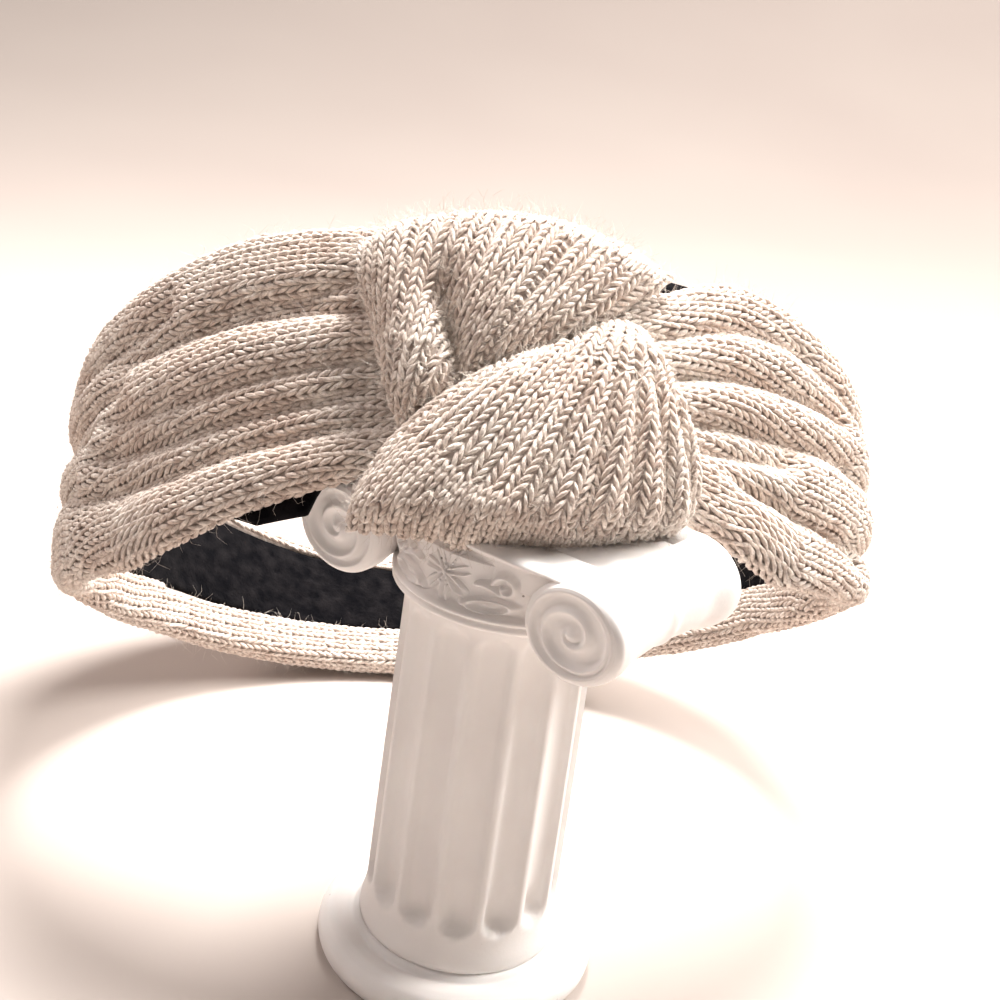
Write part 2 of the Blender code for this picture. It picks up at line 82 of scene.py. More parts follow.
# Knit
WALE_WIDTH = 0.0027         # from one chain of stitches to the next
ROW_HEIGHT = 0.0022
YARN_RADIUS = 0.00052
KNOT_STITCH = 0.82          # the knot's stitches are pulled tighter than the band's
KNOT_YARN = 0.90            # and their yarn is thinner
YARN_SINK = 0.00040         # how far the cloth behind the stitches lies under the solids' surface
LEG_SIDES = 5
LEG_RINGS = 5
LEG_LENGTH = 1.78           # of one leg of a stitch, in rows
LEG_INSIDE = 0.03           # where a leg starts beside its chain's middle, in chains
LEG_REACH = 0.43            # and how far it leans out
GROOVE_DEPTH = 0.0042
LEAST_CLOTH = 0.0006        # the deepest groove still leaves this much cloth
RIDGE_PUFF = 0.0011         # how far the gathers stand proud of the solids
HAIR_RADIUS = 0.000032
BAND_HAIRS = 8200
LOOP_HAIRS = 2700
BAND_STATIONS = 480         # grids that the cloths are read on
FACE_POINTS = 110
CLOTH_COLUMNS = 150
FAN_GRID = 130
LINING_POINTS = 24

# Column
BASE_RADIUS = 0.0280
BASE_HEIGHT = 0.0076
SHAFT_RADIUS = 0.0191
SHAFT_TAPER = 0.95
SHAFT_HEIGHT = 0.0736
FLUTE_COUNT = 14
FLUTE_DEPTH = 0.0020
CAPITAL_HEIGHT = 0.0156
CAPITAL_TURN = math.radians(36.0)
VOLUTE_RADIUS = 0.0086
VOLUTE_STRETCH = 1.14
VOLUTE_SPREAD = 0.0268
CAPITAL_SHIFT = 0.0017
BOLSTER_HALF = 0.0200
SLAB_HALF = 0.0186
SLAB_SHARE = 0.75
SLAB_DROP = 0.00003
STAND_GAP = 0.0003

# Camera, fitted to the photograph: the lens is for a sensor of 36 mm
CAMERA_PLACE = Vector((-0.00295, -0.25381, 0.19809))
CAMERA_PITCH = math.radians(21.53)
CAMERA_ROLL = math.radians(7.93)
CAMERA_LENS = 54.0

# The wall going round from the left of the knot by the back to its right. turn is in degrees, top and
# bottom are shares of BAND_HEIGHT, hem is a share of the hem's thickness, flare is in degrees,
# ripple is the strength of the small pleats and wale the width of a chain as a share of WALE_WIDTH.
BAND_TABLE = table(
    "turn top bottom hem flare ripple wale",
    (BAND_START, 0.35, -0.38, 0.0, 0, 0.4, 0.8),
    (-103, 0.375, -0.43, 0.0, 0, 0.8, 0.86),
    (-119, 0.425, -0.5, 0.0, 0, 1.0, 0.96),
    (-128, 0.425, -0.55, 0.05, 0, 1.0, 1.0),
    (-138, 0.415, -0.57, 1.0, 0, 1.0, 1.0),
    (-155, 0.395, -0.51, 1.0, 0, 0.9, 1.0),
    (-180, 0.36, -0.41, 1.0, 2, 0.6, 1.0),
    (-208, 0.28, -0.35, 1.0, 7, 0.35, 0.96),
    (-240, 0.21, -0.335, 1.0, 13, 0.25, 0.92),
    (-270, 0.2, -0.305, 1.0, 15, 0.25, 0.9),
    (-300, 0.21, -0.24, 1.0, 13, 0.25, 0.92),
    (-327, 0.25, -0.24, 1.0, 7, 0.35, 0.96),
    (-352, 0.31, -0.32, 1.0, 2, 0.6, 1.0),
    (-378, 0.36, -0.46, 1.0, 0, 0.9, 1.0),
    (-398, 0.4, -0.55, 1.0, 0, 1.0, 1.0),
    (-408, 0.385, -0.51, 0.05, 0, 1.0, 0.95),
    (-414, 0.325, -0.46, 0.0, 0, 0.9, 0.89),
    (-418, 0.265, -0.42, 0.0, 0, 0.9, 0.85),
    (BAND_END, 0.125, -0.36, 0.0, 0, 0.4, 0.78),
)
# The lining, a full ring, read the same way
LINING_TABLE = table(
    "turn top bottom",
    (-70, 0.33, -0.43),
    (-95, 0.35, -0.445),
    (-104, 0.355, -0.438),
    (-107.3, 0.358, -0.44),
    (-109, 0.359, -0.53),
    (-116, 0.366, -0.54),
    (-119, 0.37, -0.51),
    (-128, 0.375, -0.44),
    (-138, 0.365, -0.405),
    (-155, 0.345, -0.34),
    (-180, 0.31, -0.245),
    (-208, 0.23, -0.185),
    (-240, 0.16, -0.17),
    (-270, 0.15, -0.14),
    (-300, 0.16, -0.075),
    (-327, 0.2, -0.075),
    (-352, 0.26, -0.155),
    (-378, 0.31, -0.29),
    (-398, 0.35, -0.385),
    (-406, 0.36, -0.445),
    (-414, 0.36, -0.445),
    (-430, 0.33, -0.43),
)
# Grooves between the gathers. Each runs from one turn to another, at a share of the wall's height
# (0 at the top edge), bent in the middle; depth is a share of GROOVE_DEPTH, width of the height.
GROOVES = table(
    "start share_start end share_end bend depth width",
    (-100, 0.2, -128, 0.24, 0.05, 0.75, 0.03),
    (-92, 0.37, -150, 0.27, -0.01, 1.05, 0.034),
    (-92, 0.545, -152, 0.455, 0.065, 0.75, 0.028),
    (-92, 0.7, -154, 0.58, 0.04, 1.15, 0.034),
    (-92, 0.84, -158, 0.73, 0.01, 1.15, 0.032),
    (-130, 0.16, -165, 0.19, 0.02, 0.8, 0.03),
    (-138, 0.38, -185, 0.36, 0.02, 0.8, 0.034),
    (-146, 0.5, -205, 0.5, -0.03, 0.8, 0.034),
    (-150, 0.66, -190, 0.7, 0.0, 0.8, 0.034),
    (-190, 0.3, -262, 0.36, 0.03, 0.35, 0.05),
    (-195, 0.66, -290, 0.62, -0.03, 0.35, 0.05),
    (-270, 0.33, -345, 0.3, 0.03, 0.35, 0.05),
    (-340, 0.52, -392, 0.5, -0.03, 0.8, 0.034),
    (-345, 0.74, -388, 0.8, 0.02, 0.8, 0.034),
    (-350, 0.22, -400, 0.17, -0.02, 0.6, 0.03),
    (-378, 0.27, -434, 0.52, -0.03, 1.1, 0.032),
    (-390, 0.12, -434, 0.3, -0.01, 0.7, 0.028),
    (-374, 0.44, -434, 0.73, -0.03, 1.1, 0.032),
    (-396, 0.6, -434, 0.86, 0.0, 0.9, 0.028),
    (-374, 0.88, -414, 0.79, -0.04, 1.0, 0.028),
)
# Soft hollows where the gathers run into the knot: reach is in degrees, height a share of the wall's
HOLLOWS = table(
    "turn share reach height depth",
    (-93, 0.66, 9.0, 0.12, 1.2),
    (-93, 0.33, 7.0, 0.07, 0.5),
    (-430, 0.5, 6.0, 0.1, 0.5),
)
# The crease between the loops, then the rows down each loop, in shares of the knot's size. left and right
# are outer edges, y_left and y_right the heights of both sides, crest and sag bow a row up or down in its
# middle, and rise and roll are the depths of its middle and its edges.
CREASE = table(
    "x y",
    (-0.46, -0.47),
    (-0.425, -0.36),
    (-0.365, -0.25),
    (-0.26, -0.13),
    (-0.17, -0.055),
    (-0.09, 0.0),
    (0.065, 0.08),
    (0.2, 0.185),
    (0.44, 0.4),
)
UPPER_ROWS = table(
    "left y_left y_right crest rise roll",
    (-0.49, 0.405, 0.405, 0.075, 0.36, 0.28),
    (-0.49, 0.38, 0.385, 0.072, 0.7, 0.44),
    (-0.48, 0.34, 0.345, 0.06, 0.88, 0.56),
    (-0.46, 0.26, 0.26, 0.045, 0.96, 0.62),
    (-0.42, 0.15, 0.14, 0.02, 0.94, 0.62),
    (-0.39, 0.03, 0.02, 0.0, 0.86, 0.58),
    (-0.36, -0.08, -0.09, 0.0, 0.72, 0.52),
    (-0.335, -0.155, -0.175, 0.0, 0.58, 0.45),
)
LOWER_ROWS = table(
    "right y_left y_right sag rise roll",
    (0.29, 0.2, 0.205, 0.0, 0.5, 0.42),
    (0.33, 0.15, 0.15, 0.0, 0.78, 0.58),
    (0.38, 0.06, 0.06, 0.0, 0.96, 0.7),
    (0.43, -0.04, -0.06, 0.005, 1.06, 0.74),
    (0.465, -0.14, -0.16, 0.01, 1.08, 0.74),
    (0.48, -0.24, -0.25, 0.02, 1.05, 0.72),
    (0.475, -0.345, -0.315, 0.035, 1.0, 0.7),
    (0.46, -0.415, -0.35, 0.055, 0.95, 0.68),
    (0.445, -0.455, -0.375, 0.07, 0.88, 0.64),
)
# The chains of stitches of each loop run out of one place, where the loop goes under the other. centre is
# in shares of the knot's size, near and far are in metres, the angles in degrees.
UPPER_FAN = dict(centre=(-0.36, -0.40), near=0.010, far=0.086, first=107.0, last=41.0)
LOWER_FAN = dict(centre=(0.30, 0.36), near=0.008, far=0.080, first=217.0, last=291.0)


def columns(table, key, at):
    """Every column of a table read at an array of places, on straight lines between its rows."""
    rows = sorted(table, key=lambda row: row[key])
    keys = [row[key] for row in rows]
    return {name: np.interp(at, keys, [row[name] for row in rows]) for name in rows[0]}


def smooth(share):
    share = np.clip(share, 0.0, 1.0)
    return share * share * (3.0 - 2.0 * share)


def bell(value):
    return np.exp(-value ** 2)


def unit(vectors):
    return vectors / np.maximum(np.linalg.norm(vectors, axis=-1, keepdims=True), 1e-12)


def circle(steps):
    return 2.0 * np.pi * np.arange(steps) / steps


def power(value, exponent):
    return np.sign(value) * np.abs(value) ** exponent


def lengths_along(points):
    """How far each point of a line, or of many lines at once, is from the line's first point."""
    steps = np.linalg.norm(np.diff(points, axis=-2), axis=-1)
    return np.concatenate([0 * steps[..., :1], np.cumsum(steps, axis=-1)], axis=-1)


def read_line(at, places, line):
    """A line of points, known at places, read at others."""
    return np.stack([np.interp(at, places, line[:, axis]) for axis in range(line.shape[1])], -1)


def plan(turn):
    """The ring's outline in plan and its outward normal, for an array of turns in degrees."""
    across = np.cos(np.radians(turn))
    along = np.sin(np.radians(turn))
    depth = np.where(along > 0, BACK_DEPTH, FRONT_DEPTH)
    fullness = np.where(along > 0, BACK_FULLNESS, FRONT_FULLNESS)
    half = BAND_WIDTH / 2
    x = half * power(across, 2 / fullness)
    y = depth * power(along, 2 / fullness)
    level = np.zeros_like(x)
    normal = [power(x / half, fullness - 1) / half, power(y / depth, fullness - 1) / depth, level]
    return np.stack([x, y, level], -1), unit(np.stack(normal, -1))


ARC_TURNS = np.arange(-270.0, 90.1, 0.25)
ARC_LENGTHS = lengths_along(plan(ARC_TURNS)[0])
ARC_LENGTHS -= np.interp(-90.0, ARC_TURNS, ARC_LENGTHS)


def on_ring(turn, up, out, flare=0.0):
    """A place on the wall: up along it and out from its middle, in the ring's level frame."""
    point, normal = plan(np.asarray(turn, float))
    lean = np.radians(np.asarray(flare, float))[..., None]
    rise = np.array([0.0, 0.0, 1.0])
    upward = rise * np.cos(lean) + normal * np.sin(lean)
    outward = normal * np.cos(lean) - rise * np.sin(lean)
    return point + upward * np.asarray(up)[..., None] + outward * np.asarray(out)[..., None]


def lining_profile(turn):
    row = columns(LINING_TABLE, "turn", turn)
    flare = columns(BAND_TABLE, "turn", np.minimum(turn, BAND_START))["flare"]
    return row["top"] * BAND_HEIGHT, row["bottom"] * BAND_HEIGHT, flare


def ring_matrix():
    """The tilt and place of the ring on its stand: its height is read from the lining's solid."""
    turn = Matrix.Rotation(RING_LEAN, 4, "Y") @ Matrix.Rotation(-RING_TILT, 4, "X")
    turns = np.linspace(-434.0, -74.0, 721)
    top, _, flare = lining_profile(turns)
    rim = on_ring(turns, top, -CLOTH_GAP - LINING_WALL / 2, flare)
    height = (rim @ np.array(turn.to_3x3()).T)[:, 2].max()
    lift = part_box("fleece_lining")[1][2] - height
    return Matrix.Translation((RING_SHIFT, RING_SETBACK, lift)) @ turn


RING = np.array(ring_matrix())


def moved(points, matrix):
    m = np.array(matrix)
    return points @ m[:3, :3].T + m[:3, 3]


def placed(points):
    """From the ring's level frame to where the headband rests."""
    return moved(points, RING)


def add_object(name, data):
    item = bpy.data.objects.new(name, data)
    bpy.context.scene.collection.objects.link(item)
    return item


def make_mesh(name, points, faces, finish):
    """A mesh object from arrays of points and of faces, which all have as many corners."""
    mesh = bpy.data.meshes.new(name)
    points = np.asarray(points, np.float32).reshape(-1, 3)
    faces = np.asarray(faces, np.int32)
    mesh.vertices.add(len(points))
    mesh.vertices.foreach_set("co", points.ravel())
    mesh.loops.add(faces.size)
    mesh.loops.foreach_set("vertex_index", faces.ravel())
    mesh.polygons.add(len(faces))
    mesh.polygons.foreach_set("loop_start", np.arange(0, faces.size, faces.shape[1], dtype=np.int32))
    mesh.update(calc_edges=True)
    mesh.validate()
    mesh.shade_smooth()
    mesh.materials.append(finish)
    return add_object(name, mesh)


def grid_faces(rows, cols, wrap_rows=False, wrap_cols=False, start=0):
    """Quads of a grid of points, rows by columns, seen from the side where rows x columns is out."""
    row_count = rows if wrap_rows else rows - 1
    col_count = cols if wrap_cols else cols - 1
    row, col = np.meshgrid(np.arange(row_count), np.arange(col_count), indexing="ij")
    next_row = (row + 1) % rows
    next_col = (col + 1) % cols
    corners = [row * cols + col, row * cols + next_col, next_row * cols + next_col, next_row * cols + col]
    return np.stack(corners, -1).reshape(-1, 4) + start


def fan_faces(ring, centre, flip):
    """Triangles from the points of a ring to the one at its centre."""
    after = np.roll(ring, -1)
    middle = np.full_like(ring, centre)
    return np.stack([ring, middle, after] if flip else [ring, after, middle], -1)


class Cloth:
    """A cloth surface sampled on a grid: rows go along the chains of stitches, columns across them."""

    def __init__(self, points):
        self.points = points
        self.normals = unit(np.cross(np.gradient(points, axis=0), np.gradient(points, axis=1)))

    def read(self, values, row, col):
        rows, cols = values.shape[:2]
        row = np.clip(row, 0, rows - 1.001)
        col = np.clip(col, 0, cols - 1.001)
        r0 = row.astype(int)
        c0 = col.astype(int)
        fr = (row - r0)[..., None]
        fc = (col - c0)[..., None]
        low = values[r0, c0] * (1 - fc) + values[r0, c0 + 1] * fc
        high = values[r0 + 1, c0] * (1 - fc) + values[r0 + 1, c0 + 1] * fc
        return low * (1 - fr) + high * fr

    def at(self, row, col, out):
        """Places that stand a distance out from the cloth, and the normals there."""
        normal = unit(self.read(self.normals, row, col))
        return self.read(self.points, row, col) + normal * out[..., None], normal


def tubes(name, path, side, up, radius, sides, flip, finish):
    """Tubes along many short paths, in one mesh: each ring of a tube is spanned by side and up."""
    rings = path.shape[1]
    angle = circle(sides)
    ring = np.cos(angle)[:, None] * side[:, :, None] + np.sin(angle)[:, None] * up[:, :, None]
    points = path[:, :, None] + ring * radius[..., None, None]
    tube = grid_faces(rings, sides, wrap_cols=True)
    tube = tube[:, ::-1] if flip else tube
    faces = tube + np.arange(len(path))[:, None, None] * (rings * sides)
    return make_mesh(name, points, faces.reshape(-1, 4), finish)


def knit(name, cloth, row, col, row_step, col_step, apex, finish, size=1.0):
    """Both legs of many stitches as yarn tubes, in one mesh. row and col place each stitch's middle on
    the cloth's grid, the steps are the grid lengths of one stitch, and apex is the way a V points."""
    count = len(row)
    yarn = YARN_RADIUS * size
    side = np.repeat([-1.0, 1.0], count)[:, None]
    row, col, row_step, col_step = (np.tile(value, 2)[:, None] for value in (row, col, row_step, col_step))
    share = np.linspace(0.0, 1.0, LEG_RINGS)
    swell = np.sin(np.pi * share)
    jitter = CHANCE.normal(0.0, 1.0, (4, 2 * count))[:, :, None]
    along = (share - 0.5) * (LEG_LENGTH + 0.08 * jitter[0])
    across = LEG_INSIDE + LEG_REACH * share + 0.03 * jitter[1]
    out = yarn * (-0.15 + 1.2 * swell ** 0.8 + 0.12 * jitter[2])
    centre, normal = cloth.at(row - apex * along * row_step, col + side * across * col_step, out)
    tangent = unit(np.gradient(centre, axis=1))
    binormal = unit(np.cross(tangent, normal))
    radius = yarn * (0.34 + 0.70 * swell ** 0.7) * (1.0 + 0.08 * jitter[3])
    lift = np.cross(binormal, tangent)
    return tubes(name, centre, 0.96 * binormal, lift, radius, LEG_SIDES, True, finish)


def hairs(name, cloth, count, length, finish):
    """Loose fibres that stand off the cloth, each a thin bent tube that ends in a point."""
    along = np.diff(cloth.points, axis=0)[:, :-1]
    across = np.diff(cloth.points, axis=1)[:-1]
    area = np.linalg.norm(np.cross(along, across), axis=2)
    cell = CHANCE.choice(area.size, count, p=area.ravel() / area.sum())
    row = cell // area.shape[1] + CHANCE.random(count)
    col = cell % area.shape[1] + CHANCE.random(count)
    root, normal = cloth.at(row, col, np.full(count, YARN_RADIUS))
    drift = unit(CHANCE.normal(0.0, 1.0, (count, 3)))
    curl = unit(CHANCE.normal(0.0, 1.0, (count, 3)))
    reach = length * CHANCE.uniform(0.35, 1.0, count) ** 1.6
    aim = unit(normal * 0.8 + drift)
    middle = root + aim * reach[:, None] * 0.5
    tip = middle + unit(aim + curl * 0.9) * reach[:, None] * 0.5
    path = np.stack([root, middle, tip], 1)
    path[..., 2] = np.maximum(path[..., 2], 2.0 * HAIR_RADIUS)
    tangent = unit(np.gradient(path, axis=1))
    helper = unit(np.cross(tangent, drift[:, None, :] + 0.01))
    radius = HAIR_RADIUS * np.array([[1.0, 0.85, 0.30]])
    return tubes(name, path, helper, np.cross(tangent, helper), radius, 3, False, finish)


def closed_cloth(name, outer, inner, finish):
    """A wall of cloth as one closed body: its outer and inner faces, rims and two ends."""
    section = np.concatenate([outer, inner[:, ::-1]], axis=1)
    rows, cols = section.shape[:2]
    faces = grid_faces(rows, cols, wrap_cols=True)[:, ::-1]
    first = np.arange(outer.shape[1] - 1)
    ends = []
    for start, flip in ((0, True), ((rows - 1) * cols, False)):
        near = start + first
        far = start + cols - 1 - first
        quad = np.stack([near, near + 1, far - 1, far], -1)
        ends.append(quad if flip else quad[:, ::-1])
    return make_mesh(name, section, np.concatenate([faces] + ends), finish)


def thinned(points):
    """A coarser grid with the same ends: the stitches cover it, so it needs less detail."""
    keep = [np.linspace(0, size - 1, size // every).round().astype(int)
            for size, every in zip(points.shape, (3, 2))]
    return points[np.ix_(*keep)]


def resample(points, count):
    """The same lines through points, each with its points evenly spaced along it."""
    lengths = lengths_along(points)
    lines = [read_line(np.linspace(0.0, length[-1], count), length, line)
             for length, line in zip(lengths, points)]
    return np.array(lines), lengths


def groove_relief(turn, share):
    """How deep the grooves between the gathers lie: each is a valley with a crease in it."""
    relief = np.zeros(np.broadcast(turn, share).shape)
    for groove in GROOVES:
        along = (turn - groove["start"]) / (groove["end"] - groove["start"])
        middle = groove["share_start"] + (groove["share_end"] - groove["share_start"]) * along
        middle = middle + groove["bend"] * np.sin(np.pi * np.clip(along, 0.0, 1.0))
        runs_in = groove["start"] > -100.0
        runs_out = groove["end"] < -430.0
        fade = smooth(along / 0.10 + runs_in) * smooth((1.0 - along) / 0.22 + runs_out)
        across = (share - middle) / groove["width"]
        valley = 0.50 * bell(across) + 0.50 * bell(across / 2.2)
        relief += groove["depth"] * fade * valley
    for hollow in HOLLOWS:
        along = (turn - hollow["turn"]) / hollow["reach"]
        across = (share - hollow["share"]) / hollow["height"]
        relief += hollow["depth"] * np.exp(-along ** 2 - across ** 2)
    return GROOVE_DEPTH * np.minimum(relief, 1.2)


def band_surfaces():
    """The outer face of the knit wall with its hem, and the back of it, in the ring's level frame."""
    turns = np.linspace(BAND_START, BAND_END, BAND_STATIONS)[:, None]
    row = columns(BAND_TABLE, "turn", turns)
    top = row["top"] * BAND_HEIGHT
    bottom = row["bottom"] * BAND_HEIGHT
    hem = row["hem"]
    share = np.linspace(0.035, 0.965, FACE_POINTS)[None, :]
    up = top + (bottom - top) * share
    puff = (0.0012 + RIDGE_PUFF * row["ripple"]) * np.sin(np.pi * share) ** 0.6
    out = KNIT_WALL - YARN_SINK + puff - groove_relief(turns, share)
    out = np.maximum(out, LEAST_CLOTH)
    inner = -(LINING_WALL + CLOTH_GAP) * hem
    thick = inner - (HEM_WALL - LINING_WALL) * hem
    low_hem = BOTTOM_HEM * np.maximum(hem, 0.02)
    high_hem = TOP_HEM * np.maximum(hem, 0.05)
    edge = KNIT_WALL * 0.5
    sink = YARN_SINK * 0.5
    face = KNIT_WALL * 0.75 - sink
    before = [
        (top - high_hem, inner + 0.0002),
        (top - 0.4 * high_hem, inner + 0.0001),
        (top + edge * 0.15, inner * 0.5 + edge * 0.25),
        (top + edge * 0.45 - sink, edge * 0.8),
        (top + edge * 0.10, face),
    ]
    after = [
        (bottom - edge * 0.10, face),
        (bottom - edge * 0.50 + sink, edge * 0.8),
        (bottom - edge * 0.45 + sink, thick * 0.1),
        (bottom - edge * 0.05, thick * 0.7),
        (bottom + edge * 0.5, thick),
        (bottom + low_hem * 0.5, thick - 0.0003 * hem),
        (bottom + low_hem * 0.85, thick),
        (bottom + low_hem, thick + 0.0006 * hem),
    ]
    places = before + [(up, out)] + after
    ups = np.concatenate([place[0] + 0 * turns for place in places], 1)
    outs = np.concatenate([place[1] + 0 * turns for place in places], 1)
    outer, lengths = resample(on_ring(turns + 0 * ups, ups, outs, row["flare"]), CLOTH_COLUMNS)
    back_up = np.linspace(0.0, 1.0, CLOTH_COLUMNS)[None, :]
    backs = (top - high_hem) + (bottom + low_hem - top + high_hem) * back_up
    back = on_ring(turns + 0 * backs, backs, 0.0002 + 0 * backs, row["flare"])
    middle = lengths[:, len(before) + FACE_POINTS // 2]
    return placed(outer), placed(back), lengths[:, -1], middle, row["wale"][:, 0], turns[:, 0]


def make_band(finish, shaded_ground_finish, hair_finish):
    outer, back, length, middle, wale, turns = band_surfaces()
    shaded_ground = closed_cloth("knit_band_cloth", thinned(outer), thinned(back), shaded_ground_finish)
    cloth = Cloth(outer)
    walked = lengths_along(outer[:, CLOTH_COLUMNS // 2])
    stations = np.arange(len(walked))
    stitch_rows = int(round(walked[-1] / ROW_HEIGHT))
    station = np.interp(np.linspace(0.0, walked[-1], stitch_rows), walked, stations)
    cells = CLOTH_COLUMNS - 1
    chain = np.arange(-24, 25)
    stitches = []
    for place, step in zip(station, np.gradient(station)):
        whole = np.interp(place, stations, length)
        centre = np.interp(place, stations, middle)
        width = WALE_WIDTH * np.interp(place, stations, wale)
        at = (centre + (chain + 0.5) * width) / whole * cells
        at = at[(at > 0.3) & (at < cells - 0.3)]
        row = place + CHANCE.normal(0.0, 0.04, len(at))
        stitches.append(np.stack([row, at, 0 * at + step, 0 * at + width / whole * cells]))
    stitches = np.concatenate(stitches, axis=1)
    pieces = [shaded_ground]
    place = np.interp(stitches[0], stations, turns)
    for name, high, low in (("left", -91.0, -206.0), ("back", -206.0, -336.0), ("right", -336.0, -435.0)):
        keep = (place <= high) & (place > low)
        pieces.append(knit("knit_band_stitches_" + name, cloth, *stitches[:, keep], -1.0, finish))
    pieces.append(hairs("knit_band_hairs", cloth, BAND_HAIRS, 0.0060, hair_finish))
    return pieces


def crease_x(y):
    return columns(CREASE, "y", y)["x"]


def knot_place(x, y, out):
    turn = np.interp(KNOT_CENTRE + x * KNOT_WIDTH, ARC_LENGTHS, ARC_TURNS)
    return on_ring(turn, KNOT_MIDDLE + y * KNOT_HEIGHT, out)


def back_of_knot(x):
    over_band = KNIT_WALL * 1.25 + 0.0010 + CLOTH_GAP
    middle = smooth((0.14 - np.abs(x + 0.065)) / 0.05)
    return over_band + (CLOTH_GAP - over_band) * middle


def squeezed(y):
    return np.where(y > SEAT_LINE, y, SEAT_LINE + (y - SEAT_LINE) * SEAT_SQUEEZE)


class Loop:
    """One loop of the knot: rows of its table go down it, share runs across it."""

    def __init__(self, rows, edges, folds, rolled):
        self.rows = [dict(place=index / (len(rows) - 1), **row) for index, row in enumerate(rows)]
        self.edges = edges
        self.folds = folds
        self.rolled = rolled

    def outline(self, down, share):
        row = columns(self.rows, "place", down)
        (left_x, left_y), (right_x, right_y) = self.edges(row)
        bow = row.get("crest", 0.0) - row.get("sag", 0.0)
        y = left_y + (right_y - left_y) * share + bow * np.sin(np.pi * share)
        return row, left_x + (right_x - left_x) * share, y, left_x, right_x

    def front(self, down, share):
        """Places on its front, in the ring's level frame."""
        row, x, y, _, _ = self.outline(down, share)
        back = back_of_knot(x)
        puff = np.sqrt(1.0 - np.abs(2.0 * share - 1.0) ** 3)
        edge = row["roll"] * 0.62
        height = KNOT_DEPTH * (edge + (row["rise"] - edge) * puff) + self.folds(x, y, down)
        under = np.clip((down - 1.0 + self.rolled) / self.rolled, 0.0, 1.0)
        height = back + (height - back) * (0.12 + 0.88 * np.sqrt(1.0 - under ** 2))
        return knot_place(x, y, np.maximum(height - YARN_SINK, back + KNIT_WALL * 0.3))

    def behind(self, down, share):
        _, x, y, _, _ = self.outline(down, share)
        return knot_place(x, squeezed(y), back_of_knot(x))

    def locate(self, x, y):
        """Down and share of places given in shares of the knot's size, and whether they are on the loop."""
        share = np.full_like(x, 0.5)
        for _ in range(8):
            low = np.zeros_like(x)
            high = np.ones_like(x)
            for _ in range(14):
                down = (low + high) / 2
                above = self.outline(down, share)[2] > y
                low = np.where(above, down, low)
                high = np.where(above, high, down)
            _, _, found, left_x, right_x = self.outline(down, share)
            across = (x - left_x) / np.maximum(right_x - left_x, 0.01)
            share = np.clip(across, 0.0, 1.0)
        inside = (np.abs(found - y) < 0.01) & (across > -0.01) & (across < 1.01)
        return down, share, inside

    def fan(self, centre, near, far, first, last):
        """Its front on a grid whose rows are arcs about a place and whose columns run out of it."""
        way = -1 if first > last else 1
        radius = np.linspace(near, far, FAN_GRID)[::way]
        angle = np.radians(np.linspace(first, last, FAN_GRID))
        x = centre[0] + radius[:, None] * np.cos(angle) / KNOT_WIDTH
        y = centre[1] + radius[:, None] * np.sin(angle) / KNOT_HEIGHT
        down, share, inside = self.locate(x, y)
        points, inside, radius = even_rows(self.front(down, share)[::way], inside[::way], radius[::way])
        return Cloth(placed(points[::way])), inside[::way], radius[::way]


def even_rows(points, inside, radius):
    """The same surface with its rows evenly spaced over its slopes, counted from the first row."""
    flat = np.abs(np.diff(radius))[:, None]
    steps = np.linalg.norm(np.diff(points, axis=0), axis=2)
    steps = np.where(inside[1:] & inside[:-1], np.maximum(steps, flat), flat)
    lengths = np.concatenate([0 * steps[:1], np.cumsum(steps, axis=0)])
    wanted = np.linspace(0.0, lengths[-1].max(), len(points))
    rows = np.arange(len(points))
    result = np.empty_like(points)
    kept = np.empty_like(inside)
    reach = np.zeros(len(points))
    for col in range(points.shape[1]):
        place = np.interp(wanted, lengths[:, col], rows)
        result[:, col] = read_line(place, rows, points[:, col])
        kept[:, col] = inside[np.round(place).astype(int), col] & (wanted <= lengths[-1, col])
        reach += np.interp(place, rows, radius) / points.shape[1]
    return result, kept, reach


def knit_fan(name, loop, fan, finish):
    """Stitches on a loop whose chains fan out: where they crowd, some are left out."""
    cloth, inside, radius = loop.fan(**fan)
    span = math.radians(abs(fan["last"] - fan["first"]))
    wale = WALE_WIDTH * KNOT_STITCH
    chains = int(round(span * fan["far"] / wale))
    cell = (len(radius) - 1) / chains
    row_step = ROW_HEIGHT * KNOT_STITCH / np.abs(np.diff(radius)).max()
    parts = []
    for row in np.arange(0.5, len(radius) - 1.0, row_step):
        wide = np.interp(row, np.arange(len(radius)), radius) * span / chains
        level = 1
        while wide * level < wale * 0.70:
            level *= 2
        for chain in range(0, chains - level + 1, level):
            middle = (chain + level / 2) * cell
            if inside[int(round(row)), int(round(middle))]:
                parts.append((row + CHANCE.normal(0.0, 0.05) * row_step, middle, cell * level))
    row, col, col_step = np.array(parts).T
    return knit(name, cloth, row, col, 0 * row + row_step, col_step, 1.0, finish, KNOT_YARN)


def upper_edges(row):
    return (row["left"], row["y_left"]), (crease_x(row["y_right"]) - LOOP_GAP, row["y_right"])


def lower_edges(row):
    return (crease_x(row["y_left"]) + LOOP_GAP, row["y_left"]), (row["right"], row["y_right"])


def upper_folds(x, y, _):
    """A deep groove splits the loop into two strands, of which the left one stands proud."""
    line = -0.174 - 0.255 * (np.minimum(y, 0.17) + 0.073)
    depth = smooth((0.36 - y) / 0.26)
    groove = bell((x - line) / 0.030)
    beyond = bell((x - line - 0.05) / 0.06)
    strand = bell((x - line + 0.11) / 0.07)
    second = bell((x - 0.13 - 0.4 * (y - 0.3)) / 0.035) * smooth((y - 0.16) / 0.1)
    return depth * (-0.0052 * groove - 0.0016 * beyond) + 0.0012 * strand - 0.0009 * second


